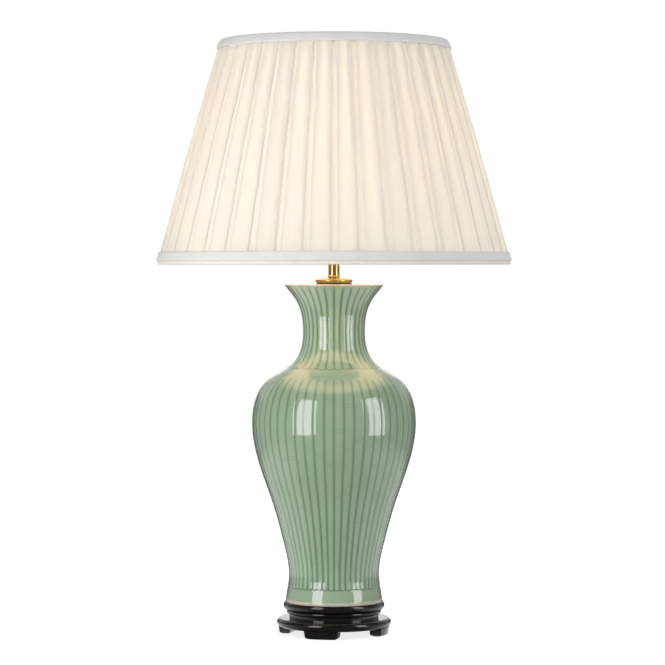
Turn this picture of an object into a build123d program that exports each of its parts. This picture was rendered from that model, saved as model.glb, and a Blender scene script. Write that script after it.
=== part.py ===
from build123d import *
import math
import os

# A table lamp: a reeded porcelain vase on a turned wooden stand, with a brass lampholder
# clamped to it by one hollow rod, and an empire shade of box-pleated cloth on a wire frame.
# Millimetres, +Z up, origin on the table under the middle of the lamp, front towards -Y.

# ---- Clearances ----
running_gap = 0.05        # between a turning or sliding piece and what guides it
cloth_gap = 0.3           # between cloth and the wire or cloth beside it
rod_gap = 0.3             # round the rod where it passes through wood and brass
drilled_gap = 1.0         # round the rod where it passes through porcelain

# ---- Stand: turned wood on four bracket feet with felt pads ----
pad_thickness = 1.0
pad_margin = 3.0          # bare wood round a pad
foot_height = 9.2
foot_count = 4
foot_turn = -104.3        # direction of the foot nearest the front, degrees from +X
foot_inset = 2.0          # of a foot's outer face behind the edge of the disc
foot_depth = 19.0
foot_width = 45.0
foot_end_taper = 3.0      # how much narrower a foot is at the floor, in all
foot_corner = 2.5
disc_radius = 73.8
disc_edge_bulge = 3.6
disc_thickness = 10.8
waist_radius = 57.8
waist_height = 5.6
step_radius = 61.0
step_height = 5.8
step_bulge = 1.2
bead_reach = 2.1          # how far the bead stands out past the vase's seat
bead_height = 9.4
bead_bulge = 2.4
seat_depth = 1.2
seat_margin = 0.5         # between the vase's foot and the rim of its seat
stand_rim = 0.6           # flat on top of the bead
pocket_depth = 12.0
pocket_margin = 2.5       # round the washer, for a box spanner

# ---- Rod, nut, washer and cable bush ----
rod_radius = 5.0
rod_bore_radius = 4.0
washer_radius = 14.0
washer_thickness = 1.5
nut_across_flats = 14.0
nut_thickness = 4.0
rod_tail = 3.0            # rod showing under the nut
bush_flange_radius = 6.2
bush_flange_thickness = 1.2
bush_spigot_length = 9.0
bush_bore_radius = 3.2

# ---- Vase: heights are measured from the bottom of its foot ----
gasket_thickness = 0.5
gasket_inset = 1.0
vase_foot_radius = 62.6
vase_foot_land = 9.0      # width of the bare ring that the vase stands on
vase_foot_recess = 6.0
vase_floor = 8.0
vase_wall = 5.0
vase_waist_radius = 58.4
vase_waist_height = 32.0
vase_belly_radius = 106.2
vase_belly_height = 230.0
vase_neck_radius = 40.0
vase_neck_height = 351.0
vase_mouth_radius = 64.0
vase_mouth_height = 409.0
vase_lip_thickness = 1.4
vase_top_rise = 1.5       # how far the closed top is crowned above the lip
vase_top_thickness = 6.0
rim_flat = 2.0            # flat of the top, showing round the brass cap

# ---- Brass cap, check ring and stem ----
cap_gasket_thickness = 0.6
cap_gasket_inset = 1.5
cap_radius = 23.8
cap_rim_height = 4.3
cap_rise = 3.2
cap_fullness = 0.62       # share of the rise reached half way in from the rim
cap_wall = 1.2
check_ring_radius = 8.1
check_ring_height = 2.2
stem_radius = 7.2
stem_gap = 0.8            # round the rod inside the stem
stem_length = 27.0

# ---- Lampholder ----
holder_radius = 19.0
holder_wall = 1.0
holder_cap_height = 20.0
holder_cap_neck_radius = 8.6
holder_cap_neck_height = 7.0
holder_body_height = 42.0
holder_dome_skirt = 5.0
holder_dome_reach = 0.72  # share of the dome's width reached
holder_dome_fullness = 0.3    # at this share of its height
holder_nut_room = 0.8     # flat floor round the corners of the nut
holder_nut_across_flats = 16.0
holder_nut_thickness = 3.0
holder_nut_gap = 1.5      # rod standing above the nut
grub_screw_radius = 1.5
grub_screw_height = 3.5   # its middle, above the bottom of the lampholder
grub_screw_proud = 0.6
switch_bar_radius = 3.0
switch_bar_travel = 4.0
switch_bar_reach = 3.0    # how far its pushed end still stands out of the holder
switch_bar_height = 6.5   # its middle, above the joint of the two halves
block_base_height = 12.0  # bottom of the insulator, above the joint
block_floor = 7.0
block_gap = 0.2
shell_radius = 13.75      # leaves 26.5 mm for the bulb's cap
shell_wall = 0.45
shell_lift = 2.0
contact_radius = 3.0
contact_thickness = 3.0
contact_height = 1.0      # how far the contact stands up from the insulator's floor
terminal_radius = 1.6
terminal_length = 3.0
terminal_spread = 9.0
rest_ring_height = 3.0
rest_ring_lift = 14.0     # bottom of the fixed ring, above the joint
rest_ring_radius = 23.0
clamp_ring_height = 7.0
clamp_ring_radius = 22.6
clamp_ring_grips = 24
clamp_ring_groove = 0.5

# ---- Bulb: a 60 mm lamp on a 27 mm screw cap ----
bulb_radius = 30.0
bulb_length = 108.0
bulb_cap_length = 19.0
bulb_cap_wall = 0.3
bulb_insulator_height = 4.0
bulb_tip_radius = 4.8
bulb_tip_height = 1.5
bulb_neck_overhang = 0.35     # of the glass over the rim of the cap
bulb_cheek_angle = 48.0   # below the middle of the glass, where the ball meets the neck's curve
bulb_neck_height = 4.0
bulb_glass_wall = 0.9
bulb_stem_radius = 4.0
bulb_stem_height = 34.0
bulb_stem_flare = 2.0
filament_radius = 0.9
filament_span = 24.0
filament_rise = 14.0
filament_lead_radius = 0.5
filament_overhang = 1.0   # of the filament past its leads

# ---- Shade ----
shade_drop = 45.5         # lower edge of the cover below its fitter ring
cover_height = 279.0
cover_bottom_radius = 227.2
cover_top_radius = 147.2
pleat_count = 40
pleat_box_share = 0.71    # of each pleat's pitch that is the flat box
pleat_depth = 2.8
pleat_undercut = 0.6      # how far a box overhangs the ground beside it
cover_ground = 1.4        # cloth at the bottom of a pleat
lining_thickness = 0.8
trim_thickness = 1.05
top_trim_height = 11.5
bottom_trim_height = 11.6
ring_wire_radius = 2.0
strut_count = 8
strut_radius = 1.5
fitter_ring_radius = 27.0
fitter_ring_thickness = 1.2
fitter_bore_gap = 0.6
arm_count = 4
arm_radius = 1.5

# ---- Levels that follow from the sizes above ----
disc_low = pad_thickness + foot_height
disc_high = disc_low + disc_thickness
waist_high = disc_high + waist_height
step_high = waist_high + step_height
stand_high = step_high + bead_height
seat_level = stand_high - seat_depth
pocket_level = disc_low + pocket_depth
nut_level = pocket_level - washer_thickness - nut_thickness
rod_low = nut_level - rod_tail
vase_level = seat_level + gasket_thickness
vase_top = vase_level + vase_mouth_height + vase_lip_thickness + vase_top_rise
cap_level = vase_top + cap_gasket_thickness
check_ring_level = cap_level + cap_rim_height + cap_rise
stem_level = check_ring_level + check_ring_height
holder_level = stem_level + stem_length
joint_level = holder_level + holder_cap_height
holder_top = joint_level + holder_body_height
holder_floor = holder_level + holder_cap_neck_height + holder_wall
rod_high = holder_floor + holder_nut_thickness + holder_nut_gap
block_level = joint_level + block_base_height
well_level = block_level + block_floor
shell_level = well_level + shell_lift
contact_top = well_level + contact_height
rest_ring_level = joint_level + rest_ring_lift
fitter_level = rest_ring_level + rest_ring_height + running_gap
clamp_ring_level = fitter_level + fitter_ring_thickness + running_gap
tip_level = contact_top + running_gap
insulator_level = tip_level + bulb_tip_height
bulb_cap_level = insulator_level + bulb_insulator_height
glass_level = bulb_cap_level + bulb_cap_length
bulb_top = tip_level + bulb_length
foot_outer_radius = disc_radius - foot_inset
foot_inner_radius = foot_outer_radius - foot_depth
seat_radius = vase_foot_radius + seat_margin
bead_radius = seat_radius + bead_reach
pocket_radius = washer_radius + pocket_margin
switch_bar_level = joint_level + switch_bar_height
block_top = holder_top - holder_wall - running_gap
bulb_cap_radius = shell_radius - shell_wall - running_gap
stem_top = glass_level + bulb_stem_height
filament_level = stem_top + filament_rise
holder_floor_radius = holder_nut_across_flats / math.sqrt(3) + holder_nut_room
bulb_neck_radius = bulb_cap_radius + bulb_neck_overhang


# ---- Ways of making that several pieces share ----
def point(radius, height):
    """A point on the half outline of a turned piece."""
    return (radius, 0, height)


def straight(*points):
    return Polyline(*[point(radius, height) for radius, height in points])


def rounded(start, through, end):
    return ThreePointArc(point(*start), point(*through), point(*end))


def turned(*lines):
    """Turns a closed half outline, given as its lines in order, about the lamp's axis."""
    edges = [edge for line in lines for edge in line.edges()]
    return revolve(Face(Wire(edges)), Axis.Z)


def plug(radius, low, high):
    return Pos(0, 0, low) * Cylinder(radius, high - low, align=(Align.CENTER, Align.CENTER, Align.MIN))


def tube(outer, inner, low, high):
    return plug(outer, low, high) - plug(inner, low, high)


def hexagon_nut(across_flats, bore, low, high):
    prism = extrude(RegularPolygon(across_flats / 2, 6, major_radius=False), high - low)
    return Pos(0, 0, low) * prism - plug(bore, low, high)


def around(shape, count, start=0.0):
    """Copies of a shape, evenly spaced about the lamp's axis."""
    return [Rot(0, 0, start + turn * 360 / count) * shape for turn in range(count)]


# ---- Stand ----
def make_stand():
    disc_middle = (disc_low + disc_high) / 2
    disc_flat = disc_radius - disc_edge_bulge
    step_middle = (waist_high + step_high) / 2
    step_flat = step_radius - step_bulge
    bead_middle = (step_high + stand_high) / 2
    bead_flat = bead_radius - bead_bulge
    bore = rod_radius + rod_gap
    return turned(
        straight((pocket_radius, pocket_level), (pocket_radius, disc_low), (disc_flat, disc_low)),
        rounded((disc_flat, disc_low), (disc_radius, disc_middle), (disc_flat, disc_high)),
        straight((disc_flat, disc_high), (waist_radius, disc_high), (waist_radius, waist_high),
                 (step_flat, waist_high)),
        rounded((step_flat, waist_high), (step_radius, step_middle), (step_flat, step_high)),
        straight((step_flat, step_high), (bead_flat, step_high)),
        rounded((bead_flat, step_high), (bead_radius, bead_middle),
                (seat_radius + stand_rim, stand_high)),
        straight((seat_radius + stand_rim, stand_high), (seat_radius, stand_high), (seat_radius, seat_level),
                 (bore, seat_level), (bore, pocket_level), (pocket_radius, pocket_level)),
    )


def foot_plan(outer, inner, width):
    """Plan of a bracket foot: a slice of a ring, with its two ends parallel."""
    return (Circle(outer) - Circle(inner)) & Pos(outer, 0) * Rectangle(2 * (outer - inner), width)


def make_feet():
    floor_plan = foot_plan(foot_outer_radius - foot_end_taper / 2, foot_inner_radius,
                           foot_width - foot_end_taper)
    disc_plan = foot_plan(foot_outer_radius, foot_inner_radius, foot_width)
    foot = loft([Pos(0, 0, pad_thickness) * floor_plan, Pos(0, 0, disc_low) * disc_plan], ruled=True)
    end_edges = foot.faces().sort_by(Axis.Z)[0].edges().filter_by(GeomType.LINE)
    return around(fillet(end_edges, foot_corner), foot_count, foot_turn)


def make_pads():
    plan = foot_plan(foot_outer_radius - foot_end_taper / 2 - pad_margin, foot_inner_radius + pad_margin,
                     foot_width - foot_end_taper - 2 * pad_margin)
    return around(extrude(plan, pad_thickness), foot_count, foot_turn)


# ---- Rod and what it clamps under the stand ----
def make_bush():
    flange = tube(bush_flange_radius, bush_bore_radius, rod_low - bush_flange_thickness, rod_low)
    spigot = tube(rod_bore_radius - running_gap, bush_bore_radius, rod_low, rod_low + bush_spigot_length)
    return flange + spigot


# ---- Vase ----
def vase_outline():
    """Points down the outside of the vase, from the lip to the foot: radius, and height above the foot."""
    lip = (vase_mouth_radius, vase_mouth_height)
    neck = (vase_neck_radius, vase_neck_height)
    belly = (vase_belly_radius, vase_belly_height)
    waist = (vase_waist_radius, vase_waist_height)
    foot = (vase_foot_radius, 0)

    def between(narrow, wide, outward, along):
        """A point part of the way out to the wide place, and part of the way along the height to it."""
        return (narrow[0] + (wide[0] - narrow[0]) * outward, narrow[1] + (wide[1] - narrow[1]) * along)

    flare = [between(neck, lip, *share) for share in ((0.79, 0.89), (0.38, 0.67), (0.13, 0.43))]
    shoulder = [between(neck, belly, *share) for share in (
        (0.047, 0.205), (0.155, 0.315), (0.42, 0.422), (0.71, 0.53), (0.905, 0.69))]
    flank = [between(waist, belly, *share) for share in ((0.79, 0.73), (0.42, 0.47), (0.125, 0.21))]
    return [lip, *flare, neck, *shoulder, belly, *flank, waist, between(waist, foot, 0.76, 0.71), foot]


def make_vase():
    outline = [(radius, vase_level + height) for radius, height in vase_outline()]
    lip, foot = outline[0], outline[-1]
    lip_edge = (lip[0] + vase_lip_thickness / 4, lip[1] + vase_lip_thickness / 2)
    lip_top = (lip[0] - vase_lip_thickness / 2, lip[1] + vase_lip_thickness)
    outside = turned(
        straight((0, vase_level), foot),
        Spline(*[point(radius, height) for radius, height in reversed(outline)]),
        rounded(lip, lip_edge, lip_top),
        straight(lip_top, (cap_radius + rim_flat, vase_top), (0, vase_top), (0, vase_level)),
    )
    floor_level = vase_level + vase_foot_recess + vase_floor
    ceiling_level = vase_top - vase_top_thickness
    walls = [(radius - vase_wall, height) for radius, height in outline
             if floor_level < height < ceiling_level]
    inside = turned(straight(
        (0, ceiling_level), (walls[0][0], ceiling_level), *walls,
        (walls[-1][0], floor_level), (0, floor_level), (0, ceiling_level)))
    foot_recess = plug(vase_foot_radius - vase_foot_land, vase_level, vase_level + vase_foot_recess)
    rod_hole = plug(rod_radius + drilled_gap, vase_level, vase_top)
    return outside - inside - foot_recess - rod_hole


# ---- Brass cap on the vase ----
def make_vase_cap():
    rim_top = cap_level + cap_rim_height
    top = rim_top + cap_rise
    bore = rod_radius + rod_gap
    inner_radius = cap_radius - cap_wall
    outer_bow = ((cap_radius + check_ring_radius) / 2, rim_top + cap_rise * cap_fullness)
    return turned(
        straight((cap_radius, cap_level), (cap_radius, rim_top)),
        rounded((cap_radius, rim_top), outer_bow, (check_ring_radius, top)),
        straight((check_ring_radius, top), (bore, top), (bore, rim_top), (inner_radius, rim_top - cap_wall),
                 (inner_radius, cap_level), (cap_radius, cap_level)),
    )


def make_check_ring():
    middle = check_ring_level + check_ring_height / 2
    bore = rod_radius + rod_gap
    flat = check_ring_radius - check_ring_height / 2
    return turned(
        straight((flat, stem_level), (bore, stem_level), (bore, check_ring_level), (flat, check_ring_level)),
        rounded((flat, check_ring_level), (check_ring_radius, middle), (flat, stem_level)),
    )


# ---- Lampholder ----
def make_holder_cap():
    neck_top = holder_level + holder_cap_neck_height
    dome_high = joint_level - holder_dome_skirt
    bore = rod_radius + running_gap
    inner_radius = holder_radius - holder_wall
    dome_middle = (holder_cap_neck_radius + (holder_radius - holder_cap_neck_radius) * holder_dome_reach,
                   neck_top + (dome_high - neck_top) * holder_dome_fullness)
    cup = turned(
        straight((bore, holder_floor), (bore, holder_level), (holder_cap_neck_radius, holder_level),
                 (holder_cap_neck_radius, neck_top)),
        rounded((holder_cap_neck_radius, neck_top), dome_middle, (holder_radius, dome_high)),
        straight((holder_radius, dome_high), (holder_radius, joint_level), (inner_radius, joint_level),
                 (inner_radius, dome_high), (dome_middle[0] - holder_wall, dome_middle[1] + holder_wall),
                 (holder_floor_radius, holder_floor), (bore, holder_floor)),
    )
    return cup - grub_screw(grub_screw_radius + running_gap)


def grub_screw(radius):
    """The screw that locks the lampholder on the rod, standing out at the back."""
    length = holder_cap_neck_radius + grub_screw_proud - rod_radius - running_gap
    middle = rod_radius + running_gap + length / 2
    return Pos(0, middle, holder_level + grub_screw_height) * Rot(90, 0, 0) * Cylinder(radius, length)


def switch_bar(radius):
    length = 2 * (holder_radius + switch_bar_reach) + switch_bar_travel
    return Pos(switch_bar_travel / 2, 0, switch_bar_level) * Rot(0, 90, 0) * Cylinder(radius, length)


def make_holder_body():
    sleeve = tube(holder_radius, holder_radius - holder_wall, joint_level, holder_top)
    lip = tube(holder_radius - holder_wall, shell_radius + holder_wall, holder_top - holder_wall, holder_top)
    return sleeve + lip - switch_bar(switch_bar_radius + running_gap)


def make_holder_block():
    outer = holder_radius - holder_wall - block_gap
    well = tube(outer, shell_radius + running_gap, well_level, block_top)
    body = well + plug(outer, block_level, well_level)
    contact_seat = plug(contact_radius + running_gap, contact_top - contact_thickness, well_level)
    return body - contact_seat - terminals(terminal_radius + running_gap)


def terminals(radius):
    """Two screws, half their length in the underside of the insulator."""
    screw = Pos(0, terminal_spread, 0) * plug(radius, block_level - terminal_length / 2,
                                              block_level + terminal_length / 2)
    return around(screw, 2)


def make_clamp_ring():
    high = clamp_ring_level + clamp_ring_height
    ring = tube(clamp_ring_radius, holder_radius + running_gap, clamp_ring_level, high)
    groove = plug(2 * clamp_ring_groove, clamp_ring_level, high)
    return ring - around(Pos(clamp_ring_radius + clamp_ring_groove, 0, 0) * groove, clamp_ring_grips)


# ---- Bulb ----
def make_bulb_glass():
    centre = bulb_top - bulb_radius
    neck_high = glass_level + bulb_neck_height
    slant = math.radians(bulb_cheek_angle)
    cheek = (bulb_radius * math.cos(slant), centre - bulb_radius * math.sin(slant))
    throat = ((cheek[0] + 3 * bulb_neck_radius) / 4, (cheek[1] + neck_high) / 2)
    neck = (bulb_neck_radius, neck_high)
    outside = turned(
        straight((0, bulb_top), (0, glass_level), (bulb_neck_radius, glass_level), neck),
        rounded(neck, throat, cheek),
        rounded(cheek, (bulb_radius, centre), (0, bulb_top)),
    )
    inner_radius = bulb_radius - 2 * bulb_glass_wall
    half = inner_radius * math.sqrt(0.5)
    inner_neck = bulb_neck_radius - bulb_glass_wall
    inside = turned(straight(
        (0, glass_level), (inner_neck, glass_level), (inner_neck, neck_high),
        (throat[0] - bulb_glass_wall, throat[1]), (half, centre - half), (inner_radius, centre),
        (half, centre + half), (0, centre + inner_radius), (0, glass_level)))
    return outside - inside


def make_bulb_cap():
    inner = bulb_cap_radius - bulb_cap_wall
    return plug(bulb_cap_radius, bulb_cap_level, glass_level) - plug(
        inner, bulb_cap_level + bulb_cap_wall, glass_level)


def make_bulb_stem():
    flare = plug(bulb_cap_radius - bulb_cap_wall - running_gap, glass_level - bulb_stem_flare, glass_level)
    return flare + plug(bulb_stem_radius, glass_level, stem_top)


def make_filament():
    return Pos(0, 0, filament_level) * Rot(0, 90, 0) * Cylinder(filament_radius, filament_span)


def rod_between(start, end, radius):
    """A round bar from one point to another."""
    along = Vector(*end) - Vector(*start)
    bar = Cylinder(radius, along.length, align=(Align.CENTER, Align.CENTER, Align.MIN))
    return Plane(origin=start, z_dir=along) * bar


def make_leads():
    root = (bulb_stem_radius / 2, 0, stem_top)
    tip = (filament_span / 2 - filament_overhang, 0, filament_level)
    lead = rod_between(root, tip, filament_lead_radius) - plug(bulb_stem_radius, glass_level, stem_top)
    return around(lead - make_filament(), 2)


# ---- Shade: a cone of pleated cloth, with a lining and a wire frame between the two ----
cover_low = fitter_level - shade_drop
cover_high = cover_low + cover_height
cone_slope = (cover_bottom_radius - cover_top_radius) / cover_height
across_slope = math.hypot(1, cone_slope)      # level width of a bar that leans with the cone
bottom_ring_level = cover_low - cloth_gap - ring_wire_radius
top_ring_level = cover_high + cloth_gap + ring_wire_radius
shade_high = top_ring_level + ring_wire_radius + cloth_gap
strut_outset = -pleat_depth - cover_ground - cloth_gap - strut_radius * across_slope
ring_outset = strut_outset + (strut_radius + ring_wire_radius) * across_slope + running_gap
lining_outset = strut_outset - strut_radius * across_slope - cloth_gap
trim_outset = cloth_gap + trim_thickness


def cover_radius(height):
    """Radius of the flat boxes of the pleats at a height: the shade's cone."""
    return cover_bottom_radius - cone_slope * (height - cover_low)


def cone_sleeve(outset, thickness, low, high):
    """A thin sleeve that follows the shade's cone, its outside set out from the pleats' boxes."""
    return turned(straight(*[(cover_radius(height) + outset + depth, height) for depth, height in
                             ((0, low), (0, high), (-thickness, high), (-thickness, low), (0, low))]))


def pleat_ring(height):
    """The folded edge of the cover at one height, as a closed run of straight lines."""
    box = cover_radius(height)
    ground = box - pleat_depth
    pitch = 2 * math.pi / pleat_count
    half_box = pitch * pleat_box_share / 2
    half_root = half_box - pleat_undercut / ground
    points = []
    for pleat in range(pleat_count):
        middle = (pleat + 0.5) * pitch - math.pi / 2
        for radius, turn in ((ground, -half_root), (box, -half_box), (box, half_box), (ground, half_root)):
            points.append((radius * math.cos(middle + turn), radius * math.sin(middle + turn), height))
    return Polyline(*points, close=True).wire()


def make_cover():
    folds = Solid.make_loft([pleat_ring(cover_low), pleat_ring(cover_high)], ruled=True)
    inset = pleat_depth + cover_ground
    return folds - turned(straight(
        (0, cover_low), (cover_radius(cover_low) - inset, cover_low),
        (cover_radius(cover_high) - inset, cover_high), (0, cover_high), (0, cover_low)))


def frame_ring(height):
    return Pos(0, 0, height) * Torus(cover_radius(height) + ring_outset, ring_wire_radius)


def make_struts():
    foot, head = [(cover_radius(level) + strut_outset, 0, level)
                  for level in (bottom_ring_level, top_ring_level)]
    return around(rod_between(foot, head, strut_radius), strut_count, 180 / strut_count)


def make_fitter_ring():
    return tube(fitter_ring_radius, holder_radius + fitter_bore_gap, fitter_level,
                fitter_level + fitter_ring_thickness)


arm_start = (fitter_ring_radius + arm_radius / 2, 0, fitter_level + fitter_ring_thickness / 2)
arm_reach = cover_radius(bottom_ring_level) + ring_outset - ring_wire_radius - 2 * running_gap
arm_end = (arm_reach, 0, bottom_ring_level)
arm_slope = (arm_start[2] - bottom_ring_level) / (arm_reach - arm_start[0])


def make_lining():
    """Its lower edge stops just above the arms, which pass under it to the bottom ring."""
    inner_radius = cover_radius(bottom_ring_level) + lining_outset - lining_thickness
    arm_level = bottom_ring_level + (arm_reach - inner_radius) * arm_slope
    low = arm_level + arm_radius * math.hypot(1, arm_slope) + cloth_gap
    return cone_sleeve(lining_outset, lining_thickness, low, top_ring_level + ring_wire_radius)


# ---- Every piece by name ----
pieces = {
    "foot_pads": make_pads(),
    "stand_feet": make_feet(),
    "stand_top": make_stand(),
    "rod_washer": tube(washer_radius, rod_radius + rod_gap, pocket_level - washer_thickness, pocket_level),
    "rod_nut": hexagon_nut(nut_across_flats, rod_radius + running_gap, nut_level, nut_level + nut_thickness),
    "threaded_rod": tube(rod_radius, rod_bore_radius, rod_low, rod_high),
    "cable_bush": make_bush(),
    "foot_gasket": tube(vase_foot_radius - gasket_inset, vase_foot_radius - vase_foot_land + gasket_inset,
                        seat_level, vase_level),
    "vase": make_vase(),
    "cap_gasket": tube(cap_radius - cap_gasket_inset, rod_radius + drilled_gap, vase_top, cap_level),
    "vase_cap": make_vase_cap(),
    "check_ring": make_check_ring(),
    "stem_tube": tube(stem_radius, rod_radius + stem_gap, stem_level, holder_level),
    "holder_cap": make_holder_cap(),
    "grub_screw": grub_screw(grub_screw_radius),
    "holder_nut": hexagon_nut(holder_nut_across_flats, rod_radius + running_gap, holder_floor,
                              holder_floor + holder_nut_thickness),
    "holder_body": make_holder_body(),
    "holder_block": make_holder_block(),
    "screw_shell": tube(shell_radius, shell_radius - shell_wall, shell_level, block_top),
    "centre_contact": plug(contact_radius, contact_top - contact_thickness, contact_top),
    "terminal_screws": terminals(terminal_radius),
    "switch_bar": switch_bar(switch_bar_radius),
    "shade_rest_ring": tube(rest_ring_radius, holder_radius + running_gap, rest_ring_level,
                            rest_ring_level + rest_ring_height),
    "shade_clamp_ring": make_clamp_ring(),
    "bulb_tip": plug(bulb_tip_radius, tip_level, insulator_level),
    "bulb_insulator": turned(straight(
        (0, insulator_level), (bulb_tip_radius, insulator_level), (bulb_cap_radius, bulb_cap_level),
        (0, bulb_cap_level), (0, insulator_level))),
    "bulb_cap": make_bulb_cap(),
    "bulb_stem": make_bulb_stem(),
    "filament_leads": make_leads(),
    "filament": make_filament(),
    "bulb_glass": make_bulb_glass(),
    "fitter_ring": make_fitter_ring(),
    "fitter_arms": around(rod_between(arm_start, arm_end, arm_radius), arm_count),
    "frame_bottom_ring": frame_ring(bottom_ring_level),
    "frame_top_ring": frame_ring(top_ring_level),
    "frame_struts": make_struts(),
    "shade_cover": make_cover(),
    "shade_lining": make_lining(),
    "bottom_trim": cone_sleeve(trim_outset, trim_thickness, cover_low, cover_low + bottom_trim_height),
    "top_trim": cone_sleeve(trim_outset, trim_thickness, shade_high - top_trim_height, shade_high),
}

os.makedirs("parts", exist_ok=True)
for name, piece in pieces.items():
    solids = [solid for shape in (piece if isinstance(piece, list) else [piece]) for solid in shape.solids()]
    export_step(solids[0] if len(solids) == 1 else Compound(children=solids), f"parts/{name}.step")
    print(name, len(solids))
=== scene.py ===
import math

import bpy
import numpy as np
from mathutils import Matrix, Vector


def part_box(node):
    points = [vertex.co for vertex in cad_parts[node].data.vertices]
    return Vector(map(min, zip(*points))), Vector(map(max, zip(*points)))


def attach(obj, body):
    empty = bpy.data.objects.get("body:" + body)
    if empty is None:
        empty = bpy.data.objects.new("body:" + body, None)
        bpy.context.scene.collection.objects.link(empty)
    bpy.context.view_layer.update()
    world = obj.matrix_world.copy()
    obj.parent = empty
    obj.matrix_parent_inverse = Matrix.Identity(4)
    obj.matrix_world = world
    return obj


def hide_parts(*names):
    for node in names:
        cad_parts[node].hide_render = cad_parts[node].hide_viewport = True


# A table lamp: a reeded celadon vase on a black lacquered stand, with a brass lampholder
# and a lit shade of ivory box pleats. Metres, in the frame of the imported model.
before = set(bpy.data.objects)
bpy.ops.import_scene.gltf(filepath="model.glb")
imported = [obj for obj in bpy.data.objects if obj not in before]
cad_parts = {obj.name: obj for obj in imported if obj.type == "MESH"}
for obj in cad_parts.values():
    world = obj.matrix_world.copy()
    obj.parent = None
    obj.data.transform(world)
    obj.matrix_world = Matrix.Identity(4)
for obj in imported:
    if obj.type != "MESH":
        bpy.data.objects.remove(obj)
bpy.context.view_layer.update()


# ---- The camera ----
# A long lens straight in front, as high as the lower edge of the shade and dipped a little. It sees
# that edge level, and the stand from slightly above.
camera_lens = 150.9
camera_distance = 3.6
camera_height = 0.4754
camera_offset = -0.0019        # to the left of the lamp's axis
camera_dip = math.radians(1.367)
camera_reach = 30

camera_data = bpy.data.cameras.new("camera")
camera_data.lens = camera_lens
camera_data.clip_end = camera_reach
camera = bpy.data.objects.new("camera", camera_data)
camera.location = (camera_offset, -camera_distance, camera_height)
camera.rotation_euler = (math.pi / 2 - camera_dip, 0, 0)
bpy.context.scene.collection.objects.link(camera)
bpy.context.scene.camera = camera


# ---- Felt pads under the feet, and the felt ring between vase and stand ----
# Pressed wool felt. The pads are a millimetre thick, cut to shape and glued under the feet. The ring
# is half as thick, and lies in the seat of the stand to spare the lacquer.
felt_colours = ((0.035, 0.034, 0.033, 1), (0.09, 0.088, 0.085, 1))
felt_fibres = 900              # to the metre
felt_fibre_height = 0.0004
pad_edge_rounding = 0.0002


def new_material(name, **constants):
    """A material with one Principled shader. Its constants go straight on the shader's own sockets."""
    material = bpy.data.materials.new(name)
    material.use_nodes = True
    for socket, value in constants.items():
        principled(material).inputs[socket.replace("_", " ")].default_value = value
    return material


def principled(material):
    return material.node_tree.nodes["Principled BSDF"]


def add(material, kind, inputs, **settings):
    """Adds a shader node. An input is set to a value, or linked if it is given another node's socket."""
    made = material.node_tree.nodes.new("ShaderNode" + kind)
    for setting, value in settings.items():
        setattr(made, setting, value)
    for socket, value in inputs.items():
        join(material, value, made.inputs[socket])
    return made


def join(material, value, socket):
    if isinstance(value, bpy.types.NodeSocket):
        material.node_tree.links.new(value, socket)
    else:
        socket.default_value = value


def place(material, stretch=(1, 1, 1)):
    """The place on the lamp in metres, stretched along each axis to draw out a pattern."""
    where = add(material, "TexCoord", {})
    return add(material, "Mapping", {"Vector": where.outputs["Object"], "Scale": stretch}).outputs[0]


def mottle(material, vector, scale, detail=3.0, roughness=0.55):
    """A soft random pattern between 0 and 1, with `scale` spots to the metre."""
    inputs = {"Vector": vector, "Scale": scale, "Detail": detail, "Roughness": roughness}
    return add(material, "TexNoise", inputs).outputs["Fac"]


def spread(material, value, low, high, start=0.3, end=0.7):
    """Stretches a pattern's values from start..end to low..high."""
    inputs = {"Value": value, "From Min": start, "From Max": end, "To Min": low, "To Max": high}
    return add(material, "MapRange", inputs).outputs[0]


def blend(material, share, first, second):
    """A colour between two, by a share from 0 to 1."""
    return add(material, "Mix", {0: share, 6: first, 7: second}, data_type="RGBA").outputs[2]


def tint(material, share, colours):
    """Lets the surface's colour run from the first of two colours to the second, by a share from 0 to 1."""
    join(material, blend(material, share, *colours), principled(material).inputs["Base Color"])


def roughen(material, height, strength, distance):
    """Raises the surface by a pattern, `distance` metres high."""
    bump = add(material, "Bump", {"Height": height, "Strength": strength, "Distance": distance})
    join(material, bump.outputs[0], principled(material).inputs["Normal"])


def new_piece(name, mesh, material, body, stands_for=()):
    """A piece of the lamp from its mesh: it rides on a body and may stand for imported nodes."""
    mesh.materials.append(material)
    piece = bpy.data.objects.new(name, mesh)
    bpy.context.scene.collection.objects.link(piece)
    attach(piece, body)
    if stands_for:
        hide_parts(*stands_for)
    return piece


felt = new_material("wool felt", Roughness=1.0, Sheen_Weight=0.4, Sheen_Roughness=0.6)
fibres = mottle(felt, place(felt), felt_fibres, detail=4)
tint(felt, spread(felt, fibres, 0, 1), felt_colours)
roughen(felt, fibres, 0.8, felt_fibre_height)


def cut_felt(name, node, edge_rounding):
    """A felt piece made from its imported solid, with the cut edges rounded over."""
    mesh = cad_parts[node].data.copy()
    mesh.name = name
    mesh.materials.clear()
    piece = new_piece(name, mesh, felt, "lamp_base", [node])
    weld = piece.modifiers.new("weld", "WELD")
    weld.merge_threshold = 0.00001
    rounding = piece.modifiers.new("rounding", "BEVEL")
    rounding.width = edge_rounding
    rounding.segments = 2
    rounding.limit_method = "ANGLE"
    return piece


felt_pads = cut_felt("felt_foot_pads", "foot_pads", pad_edge_rounding)
felt_ring = cut_felt("felt_vase_ring", "foot_gasket", pad_edge_rounding / 2)


# ---- The stand and its four feet ----
# Hardwood, turned in one piece with a bead, a step, a waist and a round-edged disc, and four bracket
# feet glued under the disc. It has many coats of black lacquer, rubbed smooth and polished.
lacquer_colours = ((0.004, 0.0038, 0.0036, 1), (0.011, 0.007, 0.005, 1))
wood_grain = 60                # to the metre
wood_grain_stretch = (1, 1, 6)
wood_grain_height = 0.0002
polish_clouds = 22             # to the metre


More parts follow.
